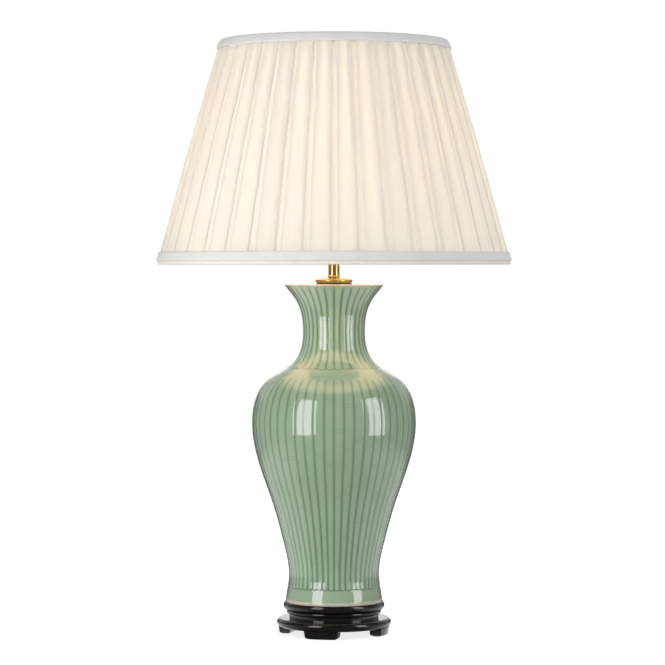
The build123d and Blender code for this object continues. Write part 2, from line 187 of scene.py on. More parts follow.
def dull(material, pattern, least, most):
    """Lets the surface's roughness run from least to most, as a pattern goes from low to high."""
    join(material, spread(material, pattern, least, most), principled(material).inputs["Roughness"])


def paint(material, *nodes):
    """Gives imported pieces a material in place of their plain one."""
    for name in nodes:
        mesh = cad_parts[name].data
        mesh.materials.clear()
        mesh.materials.append(material)


lacquer = new_material("black lacquer", Specular_IOR_Level=0.12, Coat_Weight=1.0, Coat_Roughness=0.09,
                       Coat_IOR=1.5)
grain = mottle(lacquer, place(lacquer, wood_grain_stretch), wood_grain, detail=6)
tint(lacquer, spread(lacquer, grain, 0, 1, 0.45, 0.8), lacquer_colours)
dull(lacquer, mottle(lacquer, place(lacquer), polish_clouds), 0.2, 0.34)
roughen(lacquer, grain, 0.25, wood_grain_height)
paint(lacquer, "stand_top", "stand_feet")


# ---- Rod, nut and washer under the stand, and the cable's bush ----
# The hollow rod clamps the whole lamp between this nut and the lampholder. All are zinc-plated steel.
# The bush in the rod's lower end, where the cable comes out, and the switch's push bar are moulded nylon.
zinc_colours = ((0.58, 0.58, 0.56, 1), (0.36, 0.36, 0.34, 1))
zinc_spangles = 240            # to the metre
nylon_colours = ((0.018, 0.018, 0.018, 1), (0.03, 0.03, 0.03, 1))
nylon_sparks = 1600            # marks of the eroded mould, to the metre
nylon_spark_height = 0.0001

zinc = new_material("zinc plated steel", Metallic=1.0)
spangles = mottle(zinc, place(zinc), zinc_spangles, detail=4)
tint(zinc, spread(zinc, spangles, 0, 1), zinc_colours)
dull(zinc, spangles, 0.28, 0.5)
paint(zinc, "threaded_rod", "rod_nut", "rod_washer", "grub_screw", "holder_nut", "terminal_screws")

nylon = new_material("moulded nylon")
sparks = mottle(nylon, place(nylon), nylon_sparks, detail=2)
tint(nylon, sparks, nylon_colours)
dull(nylon, sparks, 0.42, 0.6)
roughen(nylon, sparks, 0.3, nylon_spark_height)
paint(nylon, "cable_bush", "switch_bar", "bulb_insulator")


# ---- The vase ----
# Thrown porcelain, carved by hand with upright reeds and dipped in celadon. The glaze pools
# dark in the cuts and thins on the reeds. Its top and the rim of its foot are left cream.
vase_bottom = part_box("vase")[0].z
vase_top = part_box("vase")[1].z
foot_radius = 0.0626
waist = (0.0584, 0.032)        # radius, and height above the foot
belly = (0.1062, 0.230)
neck = (0.040, 0.351)
lip = (0.064, 0.409)
lip_roll = 0.0014
top_flat_radius = 0.0258
vase_wall = 0.005
foot_land = 0.009
foot_recess = 0.006
vase_floor = 0.008
closed_top = 0.006
rod_hole_radius = 0.006
reeds_on_body = 51
reeds_on_neck = 34
body_reed_columns = (0, 0.07, 0.14, 0.22, 0.34, 0.5)     # the mesh over half a reed, in widths of a reed
neck_reed_columns = (0, 0.05, 0.1, 0.15, 0.21, 0.28, 0.36, 0.45)
cut_width = 0.0054
cut_depth = 0.00016            # what is left of it once the glaze has filled it
reed_crown = 0.00007           # how far a reed is domed between its cuts
cut_wander = 0.05              # of a cut from its true place, in widths of a reed
wander_waves = (0.27, 0.11)    # the long and the short wave of the knife's line up the vase
wander_shares = (0.6, 0.7, 0.25)                         # of a steady lean, the long wave and the short wave
body_reeds_low = vase_bottom + 0.0206
body_reeds_high = vase_bottom + 0.2925
neck_reeds_low = vase_bottom + 0.3028
neck_reeds_high = vase_bottom + 0.4095
reed_start = 0.0016            # up from the ring cut, over which the cuts gain their depth
body_reed_end = 0.004
neck_reed_end = 0.006
ring_cut_width = 0.0009
ring_cut_depth = 0.00035
ring_scallop = 0.0009          # how far the ring cut rises at the cuts between the reeds
ring_pooling = (1, 0.8)        # how full of glaze the ring cuts of body and neck are
knot_spacing = (0.05, 0.13)    # least and most between the bamboo knots on one reed
knot_half_height = 0.0019
knot_line_width = (0.0002, 0.0011)                       # of its dark core, and to where it fades out
knot_darkness = 0.22
knot_relief = 0.9
knot_fade = 0.004              # from the ends of the carving, where the knots fade out
row_pitch = 0.0024
fine_row_pitch = 0.0004
fine_rows_each_side = 6
foot_glaze_line = vase_bottom + 0.0051
foot_glaze_wobble = 0.0012
top_glaze_line = vase_bottom + 0.4079
pale_foot_end = vase_bottom + 0.15
glaze_on_reeds = (0.315, 0.42, 0.29, 1)
glaze_pale = (0.40, 0.525, 0.385, 1)
# painted glow: the neck's lighter, warmer glaze colour stands in for the lit shade's warm light
neck_glaze_with_painted_glow = (0.51, 0.605, 0.42, 1)
glaze_deep = (0.265, 0.37, 0.25, 1)
glaze_pooled = (0.14, 0.23, 0.138, 1)
cream_body = (0.56, 0.52, 0.41, 1)
glaze_clouds = 26              # to the metre
glaze_speckles = 700
glaze_ripples = 70
glaze_ripple_height = 0.0003
carving = np.random.default_rng(7)


def smooth_through(points, count):
    """Points on the smooth curve through a few given ones: a natural cubic spline by chord length."""
    points = np.array(points)
    run = np.concatenate([[0], np.cumsum(np.hypot(*np.diff(points, axis=0).T))])
    gap = np.diff(run)[:, None]
    slope = np.diff(points, axis=0) / gap
    bend = np.eye(len(points))
    right = np.zeros(points.shape)
    for k in range(1, len(points) - 1):
        bend[k, k - 1:k + 2] = gap[k - 1, 0], 2 * (gap[k - 1, 0] + gap[k, 0]), gap[k, 0]
        right[k] = 6 * (slope[k] - slope[k - 1])
    second = np.linalg.solve(bend, right)
    at = np.linspace(0, run[-1], count)
    k = np.clip(np.searchsorted(run, at, side="right") - 1, 0, len(points) - 2)
    ahead, left = (run[k + 1] - at)[:, None], (at - run[k])[:, None]
    return ((second[k] * ahead ** 3 + second[k + 1] * left ** 3) / (6 * gap[k])
            + (points[k] / gap[k] - second[k] * gap[k] / 6) * ahead
            + (points[k + 1] / gap[k] - second[k + 1] * gap[k] / 6) * left)


def towards(narrow, wide, outward, along):
    """A point part of the way out from the narrow place to the wide one, and part of the way along."""
    return (narrow[0] + (wide[0] - narrow[0]) * outward, narrow[1] + (wide[1] - narrow[1]) * along)


foot = (foot_radius, 0)
vase_line = [
    foot, towards(waist, foot, 0.76, 0.71), waist,
    towards(waist, belly, 0.125, 0.21), towards(waist, belly, 0.42, 0.47), towards(waist, belly, 0.79, 0.73),
    belly,
    towards(neck, belly, 0.905, 0.69), towards(neck, belly, 0.71, 0.53), towards(neck, belly, 0.42, 0.422),
    towards(neck, belly, 0.155, 0.315), towards(neck, belly, 0.047, 0.205),
    neck,
    towards(neck, lip, 0.13, 0.43), towards(neck, lip, 0.38, 0.67), towards(neck, lip, 0.79, 0.89), lip]
vase_curve = smooth_through(vase_line, 2000) + (0, vase_bottom)


def ease(low, high, value):
    """0 up to low, 1 from high on, and smooth between them."""
    share = np.clip((value - low) / (high - low), 0, 1)
    return share * share * (3 - 2 * share)


def rows_of_curve():
    """Points up the outside of the vase, closer together where the carving starts and ends."""
    run = np.concatenate([[0], np.cumsum(np.hypot(*np.diff(vase_curve, axis=0).T))])
    even = np.interp(np.arange(0, run[-1], row_pitch), run, vase_curve[:, 1])
    fine_steps = np.arange(-fine_rows_each_side, fine_rows_each_side + 1) * fine_row_pitch
    fine = [level + fine_steps for level in (body_reeds_low, body_reeds_high, neck_reeds_low)]
    rest = np.array([foot_glaze_line, top_glaze_line, vase_curve[-1, 1]])
    heights = np.unique(np.concatenate([even, *fine, rest]).round(5))
    return np.stack([np.interp(heights, vase_curve[:, 1], vase_curve[:, 0]), heights], 1)


def reed_places(reeds, half_reed):
    """Where each column of the mesh falls, counted in reeds, closer together beside the cuts. The body
    and the neck have the same number of columns, so that one mesh runs up both."""
    other_half = [1 - place for place in half_reed[:0:-1] if place < 0.5]
    return (np.arange(reeds)[:, None] + np.array([*half_reed, *other_half])).ravel()


def wandering(places, reeds, heights):
    """How far each column strays sideways at each height, in widths of a reed, as a knife's line does."""
    phase = carving.uniform(0, 2 * math.pi, (2, reeds))
    steady = carving.uniform(-1, 1, reeds)
    long_wave, short_wave = [np.sin(heights[:, None] * 2 * math.pi / length + start)
                             for length, start in zip(wander_waves, phase)]
    lean, long_share, short_share = wander_shares
    stray = cut_wander * (lean * steady + long_share * long_wave + short_share * short_wave)
    stray[:, 0] *= 0.3             # the cut in the middle of the front is nearly straight
    cut = np.floor(places).astype(int)
    share = places - cut
    return stray[:, cut] * (1 - share) + stray[:, (cut + 1) % reeds] * share


def cut_profile(places, reeds):
    """1 in the bottom of a cut between two reeds and 0 on the reeds; and how far off a reed's crown."""
    off = np.abs(places - np.round(places))
    half_cut = cut_width / 2 / (2 * math.pi * radii / reeds)
    return (1 + np.cos(math.pi * np.clip(off / half_cut, 0, 1))) / 2, (1 - 2 * off) ** 2


outside = rows_of_curve()
radii, levels = outside[:, :1], outside[:, 1:]
body_places = reed_places(reeds_on_body, body_reed_columns)
neck_places = reed_places(reeds_on_neck, neck_reed_columns)
front = -math.pi / 2

# Between body and neck, the columns turn from the places of the body's cuts to those of the neck's.
body_stray = wandering(body_places, reeds_on_body, outside[:, 1])
neck_stray = wandering(neck_places, reeds_on_neck, outside[:, 1])
body_turn = (body_places + body_stray) * 2 * math.pi / reeds_on_body
neck_turn = (neck_places + neck_stray) * 2 * math.pi / reeds_on_neck
on_neck = ease(body_reeds_high - 0.002, neck_reeds_low, levels)
turn = front + body_turn * (1 - on_neck) + neck_turn * on_neck

# The cuts start at a ring cut and fade out at the top, and the glaze pools in both.
body_cut, body_off_crown = cut_profile(body_places, reeds_on_body)
neck_cut, neck_off_crown = cut_profile(neck_places, reeds_on_neck)
body_share = ease(body_reeds_low, body_reeds_low + reed_start, levels) * (
    1 - ease(body_reeds_high - body_reed_end, body_reeds_high, levels))
neck_share = ease(neck_reeds_low, neck_reeds_low + reed_start, levels) * (
    1 - ease(neck_reeds_high - neck_reed_end, neck_reeds_high, levels))
body_ring_cut = np.exp(-((levels - body_reeds_low - ring_scallop * body_off_crown) / ring_cut_width) ** 2)
neck_ring_cut = np.exp(-((levels - neck_reeds_low - ring_scallop * neck_off_crown) / ring_cut_width) ** 2)
pooled = np.clip(body_share * body_cut + neck_share * neck_cut
                 + ring_pooling[0] * body_ring_cut + ring_pooling[1] * neck_ring_cut, 0, 1)
inward = (body_share * (cut_depth * body_cut + reed_crown * body_off_crown)
          + neck_share * (cut_depth * neck_cut + reed_crown * neck_off_crown)
          + ring_cut_depth * (body_ring_cut + neck_ring_cut))


def knot_distance(places, reeds):
    """Height above the nearest bamboo knot of the reed that each column is on."""
    spacing = carving.uniform(*knot_spacing, reeds)[np.floor(places).astype(int)]
    start = carving.uniform(0, 1, reeds)[np.floor(places).astype(int)]
    above = (levels - vase_bottom) / spacing + start
    return (above - np.round(above)) * spacing


knots = np.where(levels < neck_reeds_low, knot_distance(body_places, reeds_on_body),
                 knot_distance(neck_places, reeds_on_neck))


def round_lamp(radius, turn, height):
    """Points round the lamp's axis, from their radii, turns and heights."""
    radius, turn, height = np.broadcast_arrays(radius, turn, height)
    return np.stack([radius * np.cos(turn), radius * np.sin(turn), height], -1)


carved_rings = round_lamp(radii - inward, turn, levels)

lip_level = outside[-1, 1]
plain_line = [
    (lip[0] + lip_roll / 4, lip_level + lip_roll / 2), (lip[0] - lip_roll / 2, lip_level + lip_roll),
    (lip[0] - 0.008, lip_level + lip_roll + 0.0004), (top_flat_radius, vase_top), (rod_hole_radius, vase_top),
    (rod_hole_radius, vase_top - closed_top)]
inner_wall = vase_curve[::80][::-1] - (vase_wall, 0)
inner_low = vase_bottom + foot_recess + vase_floor
inner_wall = inner_wall[(inner_wall[:, 1] > inner_low) & (inner_wall[:, 1] < vase_top - closed_top)]
plain_line += [(inner_wall[0, 0], vase_top - closed_top), *inner_wall, (inner_wall[-1, 0], inner_low),
               (rod_hole_radius, inner_low), (rod_hole_radius, vase_bottom + foot_recess),
               (foot_radius - foot_land, vase_bottom + foot_recess), (foot_radius - foot_land, vase_bottom)]
plain_radii, plain_levels = np.array(plain_line)[:, :1], np.array(plain_line)[:, 1:]
plain_turn = np.where(plain_levels > neck_reeds_low, turn[-1], turn[0])
plain_rings = round_lamp(plain_radii, plain_turn, plain_levels)


def skin(name, rings, closed=False, flat=None):
    """A mesh over rings of points round the lamp, given as an array of rows, columns and x, y, z.
    Closed joins the last ring to the first. Flat gives each column and row its place on the cloth."""
    rows, columns = rings.shape[:2]
    here = np.arange(rows * columns).reshape(rows, columns)
    quads = np.stack([here, np.roll(here, -1, 1), np.roll(here, (-1, -1), (0, 1)), np.roll(here, -1, 0)], 2)
    quads = quads[:rows if closed else rows - 1].reshape(-1, 4)
    mesh = bpy.data.meshes.new(name)
    mesh.from_pydata(rings.reshape(-1, 3).tolist(), [], quads.tolist())
    mesh.shade_smooth()
    if flat is not None:
        across, along = flat
        column, row = np.meshgrid(np.arange(columns), np.arange(rows - 1))
        corners = np.array([(across[column + right], along[row + up])
                            for right, up in ((0, 0), (1, 0), (1, 1), (0, 1))])
        places = corners.transpose(2, 3, 0, 1)
        mesh.uv_layers.new(name="cloth").data.foreach_set("uv", places.ravel())
    return mesh


vase_mesh = skin("carved_vase", np.concatenate([carved_rings, plain_rings]), closed=True)
untouched = np.zeros(plain_turn.size)
vase_mesh.attributes.new("pooled", "FLOAT", "POINT").data.foreach_set(
    "value", np.concatenate([pooled.ravel(), untouched]))
vase_mesh.attributes.new("knot", "FLOAT", "POINT").data.foreach_set(
    "value", np.concatenate([knots.ravel(), untouched + knot_spacing[0] / 2]))


def maths(material, operation, first, second=0.0):
    return add(material, "Math", {0: first, 1: second}, operation=operation).outputs[0]


glaze = new_material("celadon glaze", Roughness=0.08, IOR=1.5, Coat_Weight=1.0, Coat_Roughness=0.05,
                     Coat_IOR=1.55)
depth_of_glaze = add(glaze, "Attribute", {}, attribute_name="pooled").outputs["Fac"]
knot_height = add(glaze, "Attribute", {}, attribute_name="knot").outputs["Fac"]
off_knot = maths(glaze, "SUBTRACT", maths(glaze, "ABSOLUTE", knot_height), knot_half_height)
knot_line = spread(glaze, maths(glaze, "ABSOLUTE", off_knot), 1, 0, *knot_line_width)
height_on_vase = add(glaze, "SeparateXYZ", {0: place(glaze)}).outputs["Z"]
carved = maths(glaze, "MULTIPLY",
               spread(glaze, height_on_vase, 0, 1, body_reeds_low, body_reeds_low + knot_fade),
               spread(glaze, height_on_vase, 1, 0, neck_reeds_high - knot_fade, neck_reeds_high))
knot_line = maths(glaze, "MULTIPLY", knot_line, carved)
clouds = mottle(glaze, place(glaze, (1, 1, 0.5)), glaze_clouds, detail=4)
speckle = mottle(glaze, place(glaze), glaze_speckles, detail=2)

# The glaze is thin and pale above the foot, and cloudy and speckled all over.
# Up the neck its colour is lighter and warmer: painted warm light of the lit shade.
runs_pale = maths(glaze, "MULTIPLY",
                  spread(glaze, height_on_vase, 0.9, 0, body_reeds_low + 0.01, pale_foot_end),
                  spread(glaze, height_on_vase, 0.4, 1, body_reeds_low - 0.001, body_reeds_low + 0.001))
neck_painted_glow_share = spread(glaze, height_on_vase, 0, 0.85, neck_reeds_low - 0.005, neck_reeds_low + 0.03)
glaze_body = blend(glaze, runs_pale, glaze_on_reeds, glaze_pale)
glaze_body = blend(glaze, neck_painted_glow_share, glaze_body, neck_glaze_with_painted_glow)
glaze_body = blend(glaze, spread(glaze, clouds, 0, 0.5), glaze_body, glaze_deep)
glaze_body = blend(glaze, spread(glaze, speckle, 0, 0.1), glaze_body, glaze_pooled)
glaze_body = blend(glaze, depth_of_glaze, glaze_body, glaze_pooled)
glaze_body = blend(glaze, maths(glaze, "MULTIPLY", knot_line, knot_darkness), glaze_body, glaze_pooled)

# It stops in a wavering line above the foot's rim, and just under the top of the lip.
edge_wobble = maths(glaze, "MULTIPLY", mottle(glaze, place(glaze), 60), foot_glaze_wobble)
lower_edge = maths(glaze, "ADD", height_on_vase, edge_wobble)
bare_foot = spread(glaze, lower_edge, 1, 0, foot_glaze_line + 0.0002, foot_glaze_line + 0.0010)
bare_top = spread(glaze, height_on_vase, 0, 1, top_glaze_line, top_glaze_line + 0.0007)
tint(glaze, maths(glaze, "MAXIMUM", bare_foot, bare_top), (glaze_body, cream_body))
glaze_relief = maths(glaze, "SUBTRACT", mottle(glaze, place(glaze), glaze_ripples, detail=2),
                     maths(glaze, "MULTIPLY", knot_line, knot_relief))
roughen(glaze, glaze_relief, 0.3, glaze_ripple_height)
new_piece("carved_vase", vase_mesh, glaze, "lamp_base", ["vase"])


# ---- The brass cap on the vase, its gasket, the check ring and the stem ---- Spun and turned brass,
# polished and clear lacquered, clamped down by the rod inside. The lampholder is of the same brass.
brass_colours = ((0.56, 0.42, 0.13, 1), (0.43, 0.30, 0.08, 1))
tarnish_spots = 90             # to the metre
turning_lines = 5200           # left by the tool, to the metre up the lamp
turning_line_stretch = (0.02, 0.02, 1)
turning_line_depth = 0.00006
cap_low, cap_high = [corner.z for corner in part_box("vase_cap")]
cap_radius = 0.0238
cap_dome_radius = 0.0155       # where the dome starts to rise
cap_crown_radius = 0.0081
cap_wall = 0.0012
cap_hole_radius = 0.0054
cap_columns = 128
rubber_colours = ((0.02, 0.02, 0.02, 1), (0.045, 0.045, 0.045, 1))
rubber_bloom = 300             # to the metre

brass = new_material("polished brass", Metallic=1.0, Coat_Weight=0.8, Coat_Roughness=0.05)
tarnish = mottle(brass, place(brass), tarnish_spots, detail=5)
tint(brass, spread(brass, tarnish, 0, 0.6), brass_colours)
dull(brass, tarnish, 0.11, 0.2)
roughen(brass, mottle(brass, place(brass, turning_line_stretch), turning_lines, detail=2), 0.12,
        turning_line_depth)


def turned_rings(outline, columns):
    """Rings of points for a turned piece, from its outline as (radius, height)."""
    radius, height = np.array(outline).T[:, :, None]
    return round_lamp(radius, np.arange(columns) * 2 * math.pi / columns, height)


cap_outline = smooth_through([
    (cap_radius - 0.0008, cap_low), (cap_radius - 0.0003, cap_low + 0.0010),
    (cap_radius - 0.00005, cap_low + 0.0022), (cap_radius, cap_low + 0.0032),
    (cap_radius - 0.0002, cap_low + 0.0041), (cap_radius - 0.0011, cap_low + 0.0048),
    (cap_dome_radius, cap_low + 0.0058), (cap_crown_radius, cap_high)], 48)
cap_inside = [
    (cap_hole_radius, cap_high), (cap_hole_radius, cap_high - cap_wall), (cap_dome_radius, cap_low + 0.0047),
    (cap_radius - 0.0026, cap_low + 0.0033), (cap_radius - 0.0022, cap_low)]
cap_mesh = skin("spun_cap", turned_rings([*cap_outline, *cap_inside], cap_columns), closed=True)
new_piece("spun_cap", cap_mesh, brass, "lamp_base", ["vase_cap"])
paint(brass, "check_ring", "stem_tube", "holder_cap", "holder_body", "shade_rest_ring", "shade_clamp_ring")

rubber = new_material("black rubber")
bloom = mottle(rubber, place(rubber), rubber_bloom)
tint(rubber, bloom, rubber_colours)
dull(rubber, bloom, 0.7, 0.9)
paint(rubber, "cap_gasket")


# ---- Inside the lampholder ----
# A block of glazed porcelain sits between the two brass halves of the holder. It carries the screw
# shell and the centre contact, which are pressed from brass sheet and nickel plated.
insulator_colours = ((0.78, 0.76, 0.7, 1), (0.86, 0.85, 0.81, 1))
kiln_spots = 420               # to the metre
nickel_colours = ((0.72, 0.7, 0.66, 1), (0.6, 0.58, 0.53, 1))
handling_marks = 380           # to the metre

insulator = new_material("glazed insulator porcelain", Coat_Weight=0.6, Coat_Roughness=0.1)
spots = mottle(insulator, place(insulator), kiln_spots)
tint(insulator, spots, insulator_colours)
dull(insulator, spots, 0.18, 0.3)
paint(insulator, "holder_block")

nickel = new_material("nickel plate", Metallic=1.0)
marks = mottle(nickel, place(nickel), handling_marks, detail=5)
tint(nickel, spread(nickel, marks, 0, 1), nickel_colours)
dull(nickel, marks, 0.16, 0.34)
paint(nickel, "screw_shell", "centre_contact", "bulb_tip", "bulb_cap", "filament_leads")


# ---- The bulb ----
# A 60 mm bulb on a nickel-plated screw cap, blown from glass and coated white inside, with its coiled
# filament on a clear glass stem. It is lit, and it is the warm light in the shade.
bulb_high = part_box("bulb_glass")[1]
bulb_radius = bulb_high.x
light_in_bulb = 0.9            # the size of the light, as a share of the globe
glow_colour = (1.0, 0.77, 0.50)
glow_power = 1.42
glass_glow = 0.6
opal_colours = ((0.50, 0.47, 0.40, 1), (0.56, 0.53, 0.46, 1))
coating_clouds = 160           # to the metre
stem_colours = ((0.93, 0.96, 0.95, 1), (1, 1, 1, 1))
glass_seeds = 300              # to the metre
filament_colours = ((1, 0.8, 0.4, 1), (1, 0.9, 0.6, 1))
filament_glow = (9, 14)
filament_hot_spots = 400       # to the metre


def glow(material, pattern, least, most):
    """Lets the light that the surface gives off run from least to most with a pattern."""
    join(material, spread(material, pattern, least, most), principled(material).inputs["Emission Strength"])


opal = new_material("opal glass", Roughness=0.22, Emission_Color=(*glow_colour, 1))
coating = mottle(opal, place(opal), coating_clouds)
tint(opal, coating, opal_colours)
glow(opal, coating, glass_glow * 0.9, glass_glow * 1.1)
paint(opal, "bulb_glass")

clear_glass = new_material("clear glass", Roughness=0.02, IOR=1.5, Transmission_Weight=1.0)
tint(clear_glass, mottle(clear_glass, place(clear_glass), glass_seeds), stem_colours)
paint(clear_glass, "bulb_stem")

filament_coil = new_material("glowing filament", Roughness=0.6, Emission_Color=(1, 0.72, 0.4, 1))
heat = mottle(filament_coil, place(filament_coil), filament_hot_spots)
tint(filament_coil, heat, filament_colours)
glow(filament_coil, heat, *filament_glow)
paint(filament_coil, "filament")

# The light stands inside the globe, so what is round it casts no shadow.
for name in ("bulb_glass", "bulb_stem", "filament", "filament_leads"):
    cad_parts[name].visible_shadow = False


def new_light(name, kind, power, colour, location):
    """A light in the scene. Its size and shape are set on what this gives back."""
    data = bpy.data.lights.new(name, kind)
    data.energy, data.color = power, colour
    light = bpy.data.objects.new(name, data)
    light.location = location
    bpy.context.scene.collection.objects.link(light)
    return light


bulb_light = new_light("bulb light", "POINT", glow_power, glow_colour, (0, 0, bulb_high.z - bulb_radius))
bulb_light.data.shadow_soft_size = bulb_radius * light_in_bulb


# ---- The shade's wire frame ----
# Two rings, eight struts and the arms of the fitter, bent from steel wire, spot welded and coated
# white. The pressed fitter ring drops over the lampholder, and the clamp ring holds it down.
coating_colours = ((0.8, 0.79, 0.75, 1), (0.86, 0.85, 0.82, 1))
coating_drips = 260            # to the metre
coating_drip_height = 0.0002

enamel = new_material("white coated wire", Coat_Weight=0.2, Coat_Roughness=0.2)
drips = mottle(enamel, place(enamel), coating_drips)
tint(enamel, drips, coating_colours)
dull(enamel, drips, 0.32, 0.48)
roughen(enamel, drips, 0.2, coating_drip_height)
paint(enamel, "fitter_ring", "fitter_arms", "frame_bottom_ring", "frame_top_ring", "frame_struts")


# ---- The pleated cover ----
# One straight strip of thin ivory cloth, laid by hand in forty box pleats and sewn to the wire rings.
# The pleats are fuller at the top, where the cone is narrower, because the strip has one width.
cover_low, cover_high = [corner.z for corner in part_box("shade_cover")]
cover_bottom_radius = 0.2272
cover_top_radius = 0.1472
pleats = 40
box_shares = (0.78, 0.87)      # of a pleat's pitch that the flat box takes, at the bottom and at the top
cloth_per_pleat = 0.0545
pleat_rise = 0.0052            # cloth that goes into the two steps of one pleat
cover_fullness = 0.0012        # how far the cloth stands out half way up, off its straight line
cover_rows = 29
steady_stray = 0.0005          # of a pleat's edge from its true place, all the way up
wavy_stray = 0.00035           # and in waves
stray_wave = 0.19
cover_threads = ((0.90, 0.875, 0.81, 1), (0.95, 0.925, 0.86, 1))
light_through_cover = (0.835, 0.83, 0.815, 1)
cover_share_through = 0.54
cover_thread_pitch = 0.0005
cloth_thickness = 0.0001
slub_stretch = 14              # how many times as long as wide a thick place in a thread is
pleating = np.random.default_rng(11)


def cone_radius(height):
    """How far out the flat of the boxes is at a height."""
    share = (height - cover_low) / (cover_high - cover_low)
    straight = cover_bottom_radius + (cover_top_radius - cover_bottom_radius) * share
    return straight + cover_fullness * math.sin(math.pi * share)


def pleat_path(half_box, hidden, pitch):
    """Half of one pleat, from the middle of its box to the middle of the ground beside it:
    places along the pitch, and depths behind the flat of the boxes."""
    edge, fold = half_box, half_box - hidden
    flat_of_box = [(0, -0.0002), (edge * 0.45, -0.0001), (edge * 0.8, 0.0001)]
    outer_fold = [(edge - 0.0006, 0.0003), (edge - 0.0001, 0.0007), (edge - 0.0004, 0.0011)]
    inner_fold = [(edge - hidden * 0.5, 0.0014), (fold + 0.0003, 0.0016), (fold, 0.0019),
                  (fold + 0.0004, 0.0022)]
    ground = [(edge * 0.5 + fold * 0.5, 0.0024), (edge, 0.0026), (pitch / 2, 0.0026)]
    return np.array(flat_of_box + outer_fold + inner_fold + ground).T


def cover_ring(height, stray):
    """The folded line of the cover round the shade at one height, with each pleat's two edges astray."""
    radius = cone_radius(height)
    pitch = 2 * math.pi * radius / pleats
    hidden = (cloth_per_pleat - pleat_rise - pitch) / 4
    box_share = np.interp(height, (cover_low, cover_high), box_shares)
    turns, depths = [], []
    for pleat in range(pleats):
        (left, left_behind), (right, right_behind) = [
            pleat_path(pitch * box_share / 2 + side[pleat], hidden, pitch) for side in stray]
        along = np.concatenate([-left[:0:-1], right[:-1]])
        behind = np.concatenate([left_behind[:0:-1], right_behind[:-1]])
        middle = (pleat + 0.5) * 2 * math.pi / pleats - math.pi / 2
        turns.append(middle + along / radius)
        depths.append(behind)
    return round_lamp(radius - np.concatenate(depths), np.concatenate(turns), height)


edges_astray = pleating.uniform(-steady_stray, steady_stray, (2, pleats))
wave_starts = pleating.uniform(0, 2 * math.pi, (2, pleats))
cover_rings = np.stack([
    cover_ring(height, edges_astray + wavy_stray * np.sin(height * 2 * math.pi / stray_wave + wave_starts))
    for height in np.linspace(cover_low, cover_high, cover_rows)])
cover_round = cloth_per_pleat * pleats
cover_slant = math.hypot(cover_high - cover_low, cover_bottom_radius - cover_top_radius)
cover_flat = (np.linspace(0, cover_round, cover_rings.shape[1] + 1), np.linspace(0, cover_slant, cover_rows))
cover_mesh = skin("pleated_cover", cover_rings, flat=cover_flat)


def woven(name, thread_colours, thread_pitch, through_colour=None, share_through=0, bump=0.5):
    """Thin plain-woven cloth: slubby threads, and a share of the light behind it may come through."""
    cloth = new_material(name, Roughness=0.85, Specular_IOR_Level=0.1, Sheen_Weight=0.05, Sheen_Roughness=0.4)
    where = add(cloth, "UVMap", {}, uv_map="cloth").outputs[0]
    slubs, streaks = [
        mottle(cloth, add(cloth, "Mapping", {"Vector": where, "Scale": stretch}).outputs[0],
               0.3 / thread_pitch / slub_stretch, detail=4, roughness=0.7)
        for stretch in ((1, slub_stretch, 1), (slub_stretch, 1, 1))]
    threads = maths(cloth, "MULTIPLY", maths(cloth, "ADD", slubs, streaks), 0.5)
    tint(cloth, spread(cloth, threads, 0, 1, 0.35, 0.65), thread_colours)
    across, along = [maths(cloth, "SINE", maths(cloth, "MULTIPLY", axis, 2 * math.pi / thread_pitch))
                     for axis in add(cloth, "SeparateXYZ", {0: where}).outputs[:2]]
    weave = maths(cloth, "MULTIPLY", maths(cloth, "MULTIPLY", across, along), 0.5)
    roughen(cloth, maths(cloth, "ADD", weave, threads), bump, cloth_thickness)
    if share_through:
        through = add(cloth, "BsdfTranslucent", {"Color": through_colour})
        both = add(cloth, "MixShader", {0: share_through, 1: principled(cloth).outputs[0],
                                        2: through.outputs[0]})
        join(cloth, both.outputs[0], cloth.node_tree.nodes["Material Output"].inputs["Surface"])
    return cloth


pleated_cloth = woven("ivory pleated cloth", cover_threads, cover_thread_pitch, light_through_cover,
                      cover_share_through)
pleated_cover = new_piece("pleated_cover", cover_mesh, pleated_cloth, "shade",
                          ["shade_cover"])


# ---- The lining ----
# Pale cloth cut in eight gores, which are seamed at the struts, stretched smooth inside them and sewn
# over both rings.
lining_low, lining_high = [corner.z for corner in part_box("shade_lining")]
lining_bottom_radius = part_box("shade_lining")[1].x
gores = 8
lining_columns_per_gore = 12
lining_rows = 15
lining_ease = 0.0008           # how far the cloth springs in between the struts
lining_gap = 0.0004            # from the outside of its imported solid
lining_threads = ((0.88, 0.81, 0.69, 1), (0.92, 0.86, 0.75, 1))
light_through_lining = (0.85, 0.85, 0.83, 1)
lining_share_through = 0.62
lining_thread_pitch = 0.0006
lining_slope = (cover_top_radius - cover_bottom_radius) / (cover_high - cover_low)

lining_heights = np.linspace(lining_low, lining_high, lining_rows)
lining_places = np.arange(gores * lining_columns_per_gore) / lining_columns_per_gore
lining_turn = (lining_places + 0.5) * 2 * math.pi / gores
between_struts = np.sin(math.pi * (lining_places % 1)) ** 2
between_rings = np.sin(math.pi * np.linspace(0, 1, lining_rows))[:, None]
lining_reach = (lining_bottom_radius + lining_slope * (lining_heights - lining_low))[:, None] - (
    lining_ease * between_struts * between_rings + lining_gap)
lining_rings = round_lamp(lining_reach, lining_turn, lining_heights[:, None])
lining_round = 2 * math.pi * (lining_reach[0].mean() + lining_reach[-1].mean()) / 2
lining_slant = (lining_high - lining_low) * math.hypot(1, lining_slope)
lining_flat = (np.linspace(0, lining_round, lining_places.size + 1),
               np.linspace(0, lining_slant, lining_rows))
lining_cloth = woven("lining cloth", lining_threads, lining_thread_pitch, light_through_lining,
                     lining_share_through)
lining = new_piece("cloth_lining", skin("cloth_lining", lining_rings, flat=lining_flat), lining_cloth,
                   "shade", ["shade_lining"])


